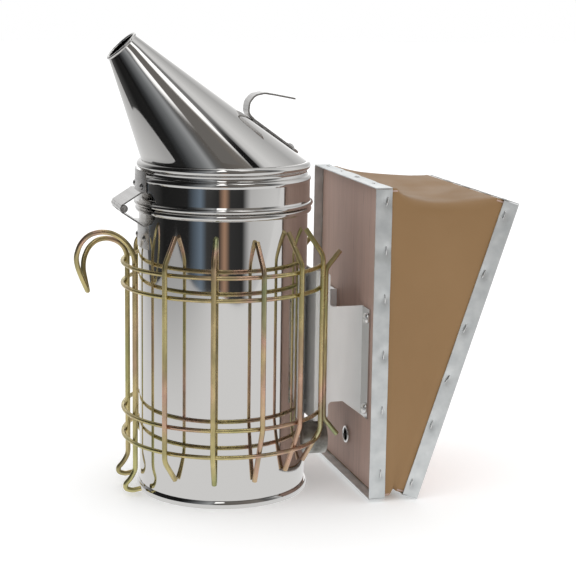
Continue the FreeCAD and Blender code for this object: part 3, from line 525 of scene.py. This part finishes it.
bpy.ops.mesh.primitive_grid_add(x_subdivisions=ROUND, y_subdivisions=SPAN, size=1)
skin = mesh_object("bellows_skin")
tucked = inner - TUCK
slack = [0.0] * len(skin.data.vertices)
for vertex in skin.data.vertices:
    y, z = round_the_board(vertex.co.x + 0.5)
    front_edge = PLACES["front"] @ Vector((inner, y, z))
    rear_edge = PLACES["rear"] @ Vector((inner, -y, z))
    gap = (rear_edge - front_edge).length
    total = 2 * tucked + gap
    along = (vertex.co.y + 0.5) * total
    if along <= tucked:
        vertex.co = PLACES["front"] @ Vector((TUCK + along, y, z))
        continue
    if along >= tucked + gap:
        vertex.co = PLACES["rear"] @ Vector((inner - (along - tucked - gap), -y, z))
        continue
    share = (along - tucked) / gap
    place = front_edge.lerp(rear_edge, share)
    slack[vertex.index] = 0.6 * min(1, 6 * share * (1 - share)) * min(1, gap / FULL_GAP) ** 2
    free = math.sin(math.pi * share) ** 1.2
    hang = math.sin(math.pi * share ** 0.66)
    far_share = (y / skin_half + 1) / 2
    far_share = far_share * far_share * (3 - 2 * far_share)
    up_share = (z - skin_low) / (skin_high - skin_low)
    side_share = abs(y) / skin_half
    sink = TOP_SINK - LESS_AT_FAR_SIDE * far_share + MORE_IN_MIDDLE * (1 - side_share ** 2)
    top_sink = bump_at(up_share, 1.0, 0.055) * sink
    side_draw = bump_at(side_share, 1.0, 0.1) * SIDE_DRAW * math.sin(math.pi * min(1, up_share * 1.02)) ** 0.7
    foot_rise = bump_at(up_share, 0.0, 0.02) * FOOT_RISE
    creases = bump_at(up_share, 0.06, 0.09) * CREASE * math.sin(place.x * 1500 + z * 500)
    place.z += free * foot_rise - hang * top_sink
    place.y -= math.copysign(free * (side_draw + creases * side_share), y)
    vertex.co = place
columns = ROUND + 1
for _ in range(SMOOTHINGS):
    before = [vertex.co.copy() for vertex in skin.data.vertices]
    for row in range(1, SPAN):
        for column in range(columns):
            here = row * columns + column
            left = here - 1 if column else here + ROUND - 1
            right = here + 1 if column < ROUND else here - ROUND + 1
            between = (before[left] + before[right]) / 2
            skin.data.vertices[here].co = before[here].lerp(between, slack[here])
bpy.ops.object.select_all(action="DESELECT")
skin.select_set(True)
bpy.context.view_layer.objects.active = skin
bpy.ops.object.mode_set(mode="EDIT")
bpy.ops.mesh.select_all(action="SELECT")
bpy.ops.mesh.remove_doubles(threshold=NEAR_ENOUGH)
bpy.ops.mesh.normals_make_consistent(inside=False)
bpy.ops.object.mode_set(mode="OBJECT")
apply_modifier(skin, "SOLIDIFY", thickness=LEATHER, offset=0)
bpy.ops.object.shade_smooth()
skin.data.materials.append(tan_leather)


def fan(piece):
    """Bakes the piece's placement into its mesh.
    """
    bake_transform(piece)


fan(skin)
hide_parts("bellows_leather")

# ---- Hinge strip ----
# A narrow strip of the same leather folded between the boards' feet and glued up their inner faces. The
# boards swing on its fold.

STRIP_HALF, STRIP_UP, STRIP_T, FACE_GAP = 0.0544, 0.012, 0.0009, 0.0019
LEAF_STEPS, FOLD_STEPS, FOLD_DROOP, OFF_THE_WOOD = 10, 8, 0.0011, 0.00005
strip_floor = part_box("bellows_hinge_strip")[0].z + STRIP_T / 2
clear = FACE_GAP - STRIP_T / 2 - OFF_THE_WOOD


def rear_side(out, up):
    """A place by the rear board's inner face: how far out from the fold, and how far up the board."""
    place = hinge + leaned @ Vector((out, 0, up))
    return place.x, place.z


foot_up = strip_floor - hinge.z + REAR_LIFT
rises = [STRIP_UP * step / LEAF_STEPS for step in range(1, LEAF_STEPS + 1)]
front_leaf = [(hinge.x - clear, strip_floor + rise_up) for rise_up in reversed(rises)]
rear_leaf = [rear_side(clear, foot_up + rise_up) for rise_up in rises]
fold_from, fold_to = (hinge.x - clear, strip_floor), rear_side(clear, foot_up)
fold = []
for step in range(FOLD_STEPS + 1):
    t = step / FOLD_STEPS
    fold.append((fold_from[0] + (fold_to[0] - fold_from[0]) * t,
                 fold_from[1] + (fold_to[1] - fold_from[1]) * t + FOLD_DROOP * (2 * t - 1) ** 6))
section = front_leaf + fold + rear_leaf
bpy.ops.mesh.primitive_grid_add(x_subdivisions=48, y_subdivisions=len(section) - 1, size=1)
hinge_strip = mesh_object("hinge_strip")
for vertex in hinge_strip.data.vertices:
    x, z = section[round((vertex.co.y + 0.5) * (len(section) - 1))]
    vertex.co = Vector((x, 2 * STRIP_HALF * vertex.co.x, z))
apply_modifier(hinge_strip, "SOLIDIFY", thickness=STRIP_T, offset=0)
bpy.ops.object.shade_smooth_by_angle(angle=math.radians(50))
hinge_strip.data.materials.append(tan_leather)
fan(hinge_strip)
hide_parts("bellows_hinge_strip")

# ---- Bellows spring ----
# A coil wound from round spring steel wire, drawn bright. It stands between the boards, hidden by the leather,
# and pushes them apart after each squeeze.

SPRING_R, SPRING_WIRE, SPRING_AT, SPRING_TURNS, TURN_STEPS = 0.013, 0.0016, 0.112, 6, 32
half_lean = LEAN / 2
coil_long = (2 * SPRING_AT * math.sin(half_lean) + 2 * FACE_GAP
             - 2 * ((SPRING_R + SPRING_WIRE) * math.tan(half_lean) + SPRING_WIRE))
middle = hinge + Vector((SPRING_AT * math.sin(half_lean), 0, SPRING_AT * math.cos(half_lean)))
axis = Vector((math.cos(half_lean), 0, -math.sin(half_lean)))
sideways = Vector((math.sin(half_lean), 0, math.cos(half_lean)))
coil = bpy.data.curves.new("coil_spring", "CURVE")
coil.dimensions = "3D"
coil.bevel_depth = SPRING_WIRE / 2
coil.bevel_resolution = 3
coil.use_fill_caps = True
steps = SPRING_TURNS * TURN_STEPS
thread = coil.splines.new("POLY")
thread.points.add(steps)
for number, point in enumerate(thread.points):
    turn = 2 * math.pi * number / TURN_STEPS
    centre = middle + axis * coil_long * (number / steps - 0.5)
    outward = sideways * math.cos(turn) + Vector((0, 1, 0)) * math.sin(turn)
    point.co = (*(centre + SPRING_R * outward), 1)
spring = bpy.data.objects.new("coil_spring", coil)
bpy.context.scene.collection.objects.link(spring)
bpy.ops.object.select_all(action="DESELECT")
spring.select_set(True)
bpy.context.view_layer.objects.active = spring
bpy.ops.object.convert(target="MESH")
spring = bpy.context.object
bpy.ops.object.shade_smooth()
spring.data.materials.clear()
spring.data.materials.append(satin_steel)
fan(spring)
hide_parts("bellows_spring")

# ---- Floor and camera ----
# A plain matt white table that the smoker stands on. What polished metal mirrors of it is a painted glow,
# seen only by rays off shiny surfaces and dimmer towards the left; its outline decides where that mirror image
# ends.

EYE = Vector((-0.2204, -0.8971, 0.3006))
YAW, PITCH, ROLL = math.radians(16.286), math.radians(10.321), math.radians(0.838)
SENSOR, LENS, SHIFT = 36, 98.12, (-0.0035, -0.03125)
ahead = Vector((math.sin(YAW) * math.cos(PITCH), math.cos(YAW) * math.cos(PITCH), -math.sin(PITCH)))
level = Vector((math.cos(YAW), -math.sin(YAW), 0))
above = level.cross(ahead)
right = level * math.cos(ROLL) + above * math.sin(ROLL)
upward = above * math.cos(ROLL) - level * math.sin(ROLL)
camera = bpy.data.objects.new("camera", bpy.data.cameras.new("camera"))
bpy.context.scene.collection.objects.link(camera)
camera.matrix_world = Matrix.Translation(EYE) @ Matrix((right, upward, -ahead)).transposed().to_4x4()
camera.data.sensor_width, camera.data.lens = SENSOR, LENS
camera.data.shift_x, camera.data.shift_y = SHIFT
bpy.context.scene.camera = camera

TABLE = [(-0.55, 0.42), (-1.0, -0.20), (-0.68, -0.38), (-0.36, -0.58), (-0.2, -0.66),
         (0.3, -0.62), (1.6, -0.62), (6.0, 0.5), (6.0, 7.0), (-3.0, 7.0)]
table_mesh = bpy.data.meshes.new("table")
table_mesh.from_pydata([(x, y, 0) for x, y in TABLE], [], [list(range(len(TABLE)))])
table = bpy.data.objects.new("table", table_mesh)
bpy.context.scene.collection.objects.link(table)
table_white = bpy.data.materials.new("table_white")
table_white.use_nodes = True
tree = table_white.node_tree
cloth = tree.nodes["Principled BSDF"]
cloth.inputs["Base Color"].default_value = (0.93, 0.93, 0.93, 1)
cloth.inputs["Roughness"].default_value = 0.9
cloth.inputs["Emission Color"].default_value = (1, 1, 1, 1)
cloth.inputs["Emission Strength"].default_value = 0.18


def join(value, socket):
    """Feeds a socket of the tree in hand from another socket, or from a number or a colour."""
    if isinstance(value, bpy.types.NodeSocket):
        tree.links.new(value, socket)
    else:
        socket.default_value = (*value, 1) if hasattr(value, "__len__") else value


def reckon(operation, *values):
    """One step of arithmetic on sockets or numbers."""
    node = tree.nodes.new("ShaderNodeMath")
    node.operation = operation
    for value, socket in zip(values, node.inputs):
        join(value, socket)
    return node.outputs[0]


def rise(value, start, end, low=0.0, high=1.0):
    """Eases from low at the start to high at the end."""
    node = tree.nodes.new("ShaderNodeMapRange")
    node.interpolation_type = "SMOOTHSTEP"
    names = ("Value", "From Min", "From Max", "To Min", "To Max")
    for given, name in zip((value, start, end, low, high), names):
        join(given, node.inputs[name])
    return node.outputs["Result"]


def blend_shaders(share, first, second):
    """The first shader where the share is 0 and the second where it is 1."""
    node = tree.nodes.new("ShaderNodeMixShader")
    join(share, node.inputs[0])
    join(first, node.inputs[1])
    join(second, node.inputs[2])
    return node.outputs[0]


def axes_of(source):
    """The X, Y and Z of a vector."""
    node = tree.nodes.new("ShaderNodeSeparateXYZ")
    join(source, node.inputs[0])
    return node.outputs


across = axes_of(tree.nodes.new("ShaderNodeTexCoord").outputs["Object"])[0]
# Painted light: to rays off shiny surfaces the table glows, dimmer towards the left, in place of a lit top.
painted_glow_in_mirrors = tree.nodes.new("ShaderNodeEmission")
join(rise(across, -0.8, -0.1, 0.44, 0.8), painted_glow_in_mirrors.inputs["Strength"])
seen_by = tree.nodes.new("ShaderNodeLightPath").outputs
join(blend_shaders(seen_by["Is Glossy Ray"], cloth.outputs[0], painted_glow_in_mirrors.outputs[0]),
     tree.nodes["Material Output"].inputs["Surface"])
table_mesh.materials.append(table_white)

# ---- Studio ----
# Soft white light from all round. What the polished metal mirrors is a room painted on the sky, which only
# rays off shiny surfaces see: dark in front of the table, pale walls to the right and behind, lamps overhead.

room = bpy.data.worlds.new("studio")
bpy.context.scene.world = room
room.use_nodes = True
tree = room.node_tree
tree.nodes.clear()


def mix(share, first, second):
    """The first colour where the share is 0 and the second where it is 1."""
    node = tree.nodes.new("ShaderNodeMix")
    node.data_type = "RGBA"
    join(share, node.inputs[0])
    join(first, node.inputs[6])
    join(second, node.inputs[7])
    return node.outputs[2]


def grey(value, warmth=0.0):
    """A grey, with more red and less blue as it warms."""
    return value * (1 + warmth), value, value * (1 - warmth)


way = axes_of(tree.nodes.new("ShaderNodeTexCoord").outputs["Generated"])
to_the_front = reckon("MULTIPLY", way[1], -1.0)
around = reckon("MULTIPLY", reckon("ARCTAN2", way[0], to_the_front), math.degrees(1))
height = reckon("MULTIPLY", reckon("ARCSINE", way[2]), math.degrees(1))


def walls(*stops):
    """A ring of wall. Each stop is degrees round from the front, positive to the right, and a colour."""
    node = tree.nodes.new("ShaderNodeValToRGB")
    elements = node.color_ramp.elements
    while len(elements) < len(stops):
        elements.new(0.5)
    for element, (degrees, colour) in zip(elements, stops):
        element.position = (degrees + 180) / 360
        element.color = (*colour, 1)
    join(reckon("DIVIDE", reckon("ADD", around, 180.0), 360.0), node.inputs["Fac"])
    return node.outputs["Color"]


def panel(behind, left, right, low, high, colour, level=None, soft=1.0):
    """Paints a lit or dark panel over the room, between two sides and two heights in degrees."""

    def between(value, start, end):
        begun = rise(value, start - soft, start + soft)
        not_ended = rise(value, end - soft, end + soft, 1.0, 0.0)
        return reckon("MULTIPLY", begun, not_ended)

    inside = reckon("MULTIPLY", between(around, left, right), between(level or height, low, high))
    return mix(inside, behind, colour)


upper = walls((-180, grey(0.85)), (-160, grey(0.7)), (-140, grey(0.35)), (-122, grey(0.02)),
              (-72, grey(0.008)), (-60, grey(0.05, -0.05)), (-42, grey(0.2, -0.04)),
              (-30, grey(0.38, -0.03)), (-22, grey(0.14)), (-12, grey(0.12, 0.08)),
              (20, grey(0.17, 0.1)), (42, grey(0.20, 0.08)), (50, grey(0.10)), (64, grey(0.24)),
              (76, grey(0.76)), (92, grey(0.82)), (112, grey(0.66)), (132, grey(0.50)),
              (150, grey(0.75)), (160, grey(1.4)), (170, grey(0.9)))
lower = walls((-180, grey(0.85)), (-158, grey(0.5)), (-140, grey(0.1)), (-100, grey(0.015)),
              (-62, grey(0.02)), (-44, (0.16, 0.21, 0.27)), (-36, grey(0.05)), (-20, grey(0.03)),
              (-12, (0.44, 0.27, 0.18)), (-5, grey(0.04)), (12, grey(0.03)), (22, grey(0.58)),
              (60, grey(0.75)), (78, grey(0.55)), (100, grey(0.72)), (140, grey(0.6)), (160, grey(1.3)))
WALL_BREAK, LAMP, LAMP_SLOPE = (-8, -3), 1.6, 0.55
seen = mix(rise(height, *WALL_BREAK), lower, upper)
tilted = reckon("SUBTRACT", height, reckon("MULTIPLY", around, LAMP_SLOPE))
seen = panel(seen, -24, -8, 45.7, 110, grey(LAMP), tilted)
seen = panel(seen, -9, 20, 36, 90, grey(0.165, 0.06), soft=2.0)
seen = panel(seen, 18, 50, 55.6, 95, grey(LAMP))
seen = panel(seen, 50, 68, 57, 95, grey(0.24), soft=2.0)
seen = panel(seen, 45, 62, 54.2, 57.2, grey(0.01), soft=0.8)


def light(colour):
    """Light of a colour from the sky."""
    node = tree.nodes.new("ShaderNodeBackground")
    join(colour, node.inputs["Color"])
    return node.outputs[0]


seen_by = tree.nodes.new("ShaderNodeLightPath").outputs
soft_light = light(mix(rise(way[2], -0.2, 0.9), grey(0.8), grey(1.15)))
everything = blend_shaders(seen_by["Is Glossy Ray"], soft_light, light(seen))
everything = blend_shaders(seen_by["Is Camera Ray"], everything, light(grey(1.0)))
join(everything, tree.nodes.new("ShaderNodeOutputWorld").inputs["Surface"])
bpy.context.scene.view_settings.view_transform = "Standard"
